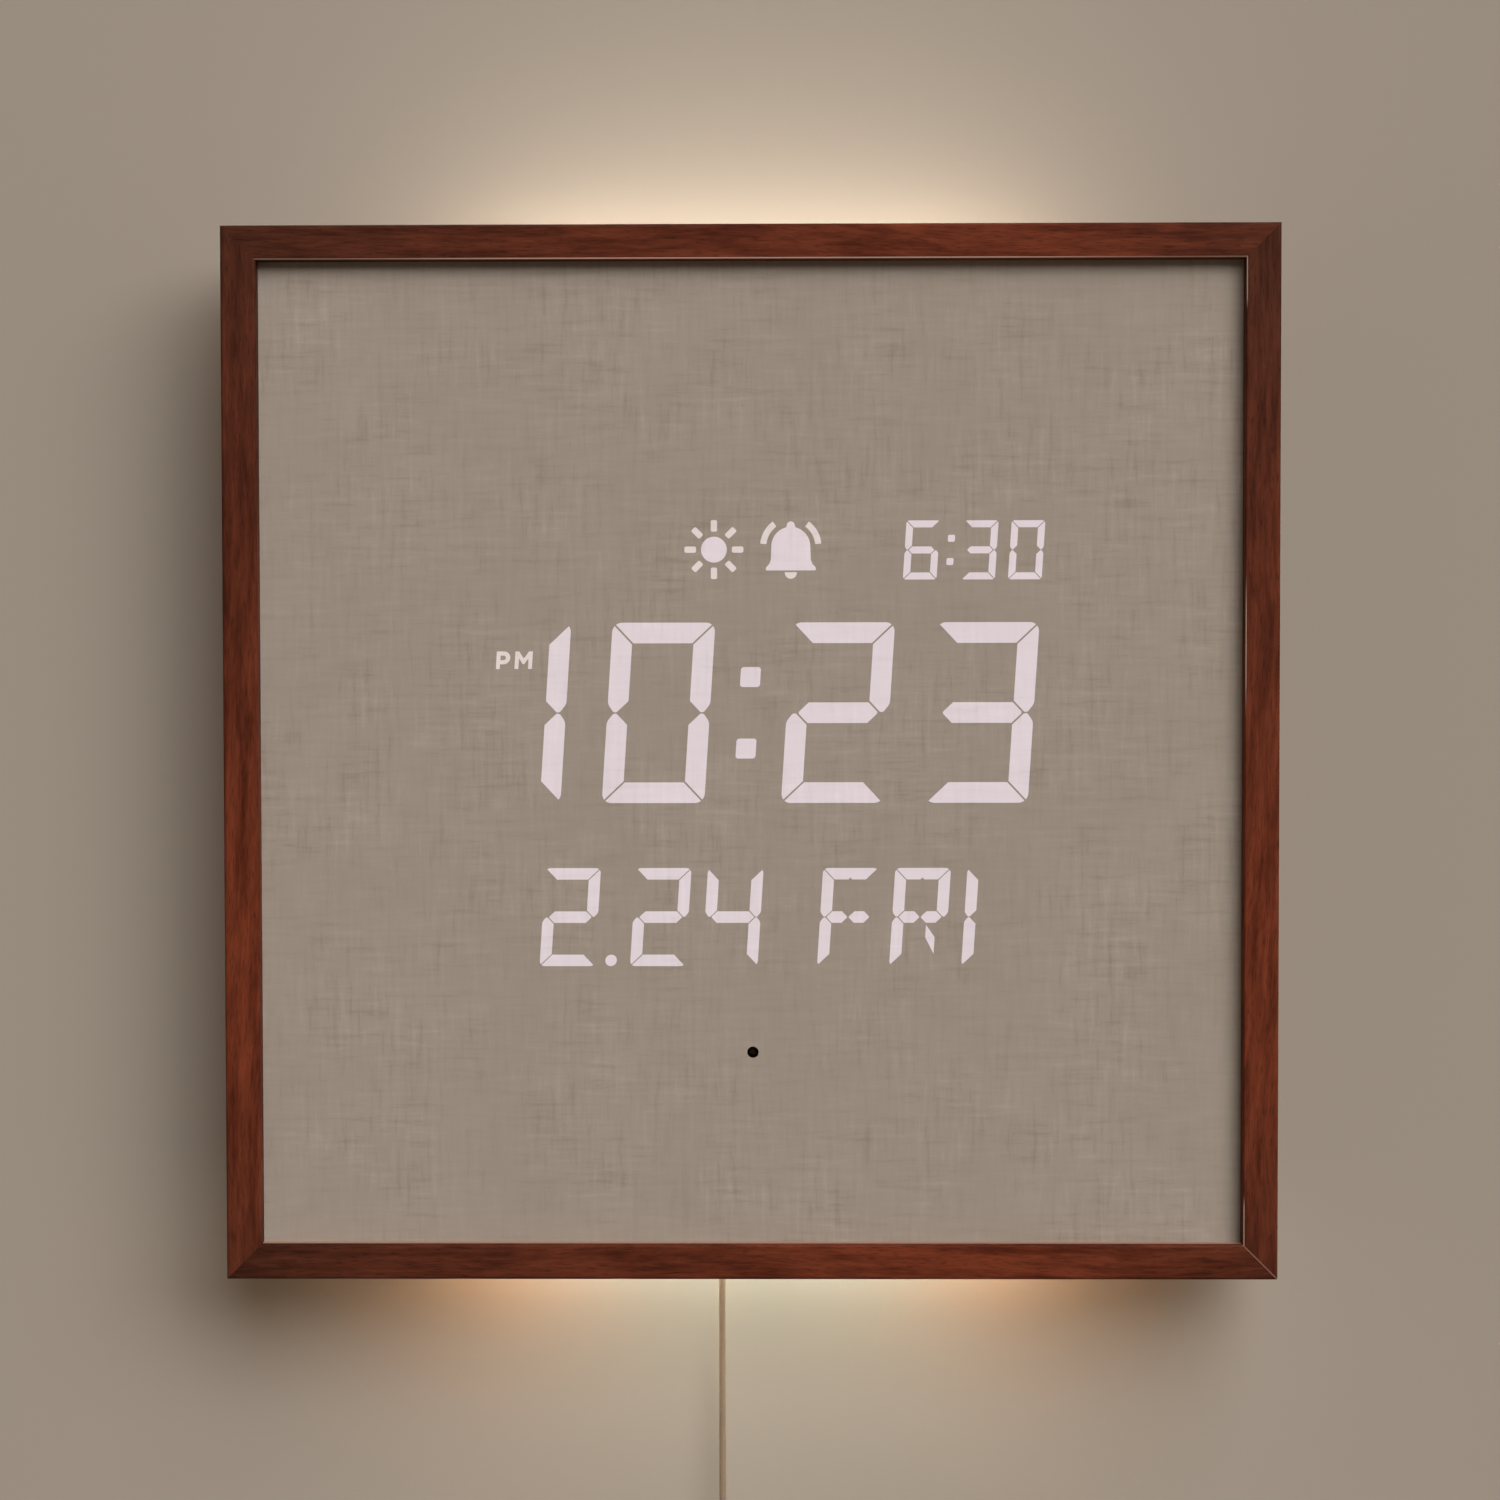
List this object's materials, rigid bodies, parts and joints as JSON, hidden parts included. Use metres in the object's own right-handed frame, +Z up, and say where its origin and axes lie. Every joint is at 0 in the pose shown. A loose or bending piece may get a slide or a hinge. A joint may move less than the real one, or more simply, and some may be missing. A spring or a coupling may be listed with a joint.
{
  "type": "digital wall clock",
  "caption": "Square wall clock: linen face in a mitred hardwood frame, segment display shining through the cloth, glow bars behind top and bottom, low-voltage cord.",
  "frame": {"origin": "centre of the rear housing's back face, on the wall plane, level with the middle of the frame", "axes": "+Z up, +Y into the wall, so the face looks along -Y, +X to the right as the face is read"},
  "size_m": [0.3, 0.042, 0.4652],
  "materials": {
    "walnut": "satin oiled hardwood",
    "linen": "plain woven linen",
    "lit_linen": "linen lit from behind",
    "panel_acrylic": "translucent sheet",
    "reflector_plastic": "white moulded plastic",
    "circuit": "solder mask",
    "led_package": "clear resin",
    "steel": "zinc plated",
    "black_steel": "black oxide",
    "sensor_resin": "dark tinted resin",
    "black_plastic": "fine moulded texture",
    "grey_plastic": "fine moulded texture",
    "poplar": "raw planed strip",
    "hardboard": "smooth hardboard",
    "light_diffuser": "frosted",
    "strip_board": "white solder mask",
    "can_metal": "drawn can",
    "cell_steel": "brushed",
    "contact_metal": "plated spring leaf",
    "cord_vinyl": "soft vinyl",
    "plug_vinyl": "moulded vinyl",
    "plug_metal": "nickel plated",
    "strap": "hook and loop strap",
    "ribbon": "flat cable",
    "lead_red": "thin insulated wire",
    "connector_nylon": "nylon"
  },
  "bodies": {
    "clock": {"top_rail": "walnut", "right_stile": "walnut", "bottom_rail": "walnut", "left_stile": "walnut", "corner_nails": "steel", "display_screws": "steel", "housing_screws": "steel", "control_board_screws": "steel", "linen_cover": "linen", "face_panel": "panel_acrylic", "diffuser_film": "panel_acrylic", "lit_time_digits": "lit_linen", "lit_date_digits": "lit_linen", "lit_weekday_letters": "lit_linen", "lit_alarm_digits": "lit_linen", "display_reflector": "reflector_plastic", "display_board": "circuit", "control_board": "circuit", "segment_leds": "led_package", "strip_leds": "led_package", "light_sensor": "sensor_resin", "sensor_shroud": "black_plastic", "rear_housing": "black_plastic", "control_chip": "black_plastic", "alarm_buzzer": "black_plastic", "button_switches": "black_plastic", "cell_holder": "black_plastic", "power_socket": "black_plastic", "spacer_frame": "poplar", "back_board": "hardboard", "back_board_screws": "black_steel", "top_light_cover": "light_diffuser", "bottom_light_cover": "light_diffuser", "top_light_strip": "strip_board", "bottom_light_strip": "strip_board", "clock_crystal": "can_metal", "coin_cell": "cell_steel", "cell_contact": "contact_metal", "power_cord": "cord_vinyl", "cord_coil": "cord_vinyl", "cord_tail": "cord_vinyl", "power_plug": "plug_vinyl", "usb_plug": "plug_vinyl", "plug_barrel": "plug_metal", "usb_shell": "plug_metal", "coil_tie": "strap", "ribbon_cable": "ribbon", "inner_leads": "lead_red", "board_connectors": "connector_nylon"},
    "mode_button": {"mode_button": "grey_plastic", "mode_plunger": "grey_plastic"},
    "up_button": {"up_button": "grey_plastic", "up_plunger": "grey_plastic"},
    "down_button": {"down_button": "grey_plastic", "down_plunger": "grey_plastic"},
    "light_button": {"light_button": "grey_plastic", "light_plunger": "grey_plastic"},
    "battery_cover": {"battery_cover": "black_plastic"}
  },
  "joints": [
    {"name": "mode_press", "type": "slide", "parent": "clock", "child": "mode_button", "axis": [0, -1, 0], "range_m": [0, 0.0005], "stiffness_N_per_m": 2000},
    {"name": "up_press", "type": "slide", "parent": "clock", "child": "up_button", "axis": [0, -1, 0], "range_m": [0, 0.0005], "stiffness_N_per_m": 2000},
    {"name": "down_press", "type": "slide", "parent": "clock", "child": "down_button", "axis": [0, -1, 0], "range_m": [0, 0.0005], "stiffness_N_per_m": 2000},
    {"name": "light_press", "type": "slide", "parent": "clock", "child": "light_button", "axis": [0, -1, 0], "range_m": [0, 0.0005], "stiffness_N_per_m": 2000},
    {"name": "cover_turn", "type": "hinge", "parent": "clock", "child": "battery_cover", "pos_m": [0.027, 0, -0.025], "axis": [0, 1, 0], "range_deg": [0, 45]}
  ]
}
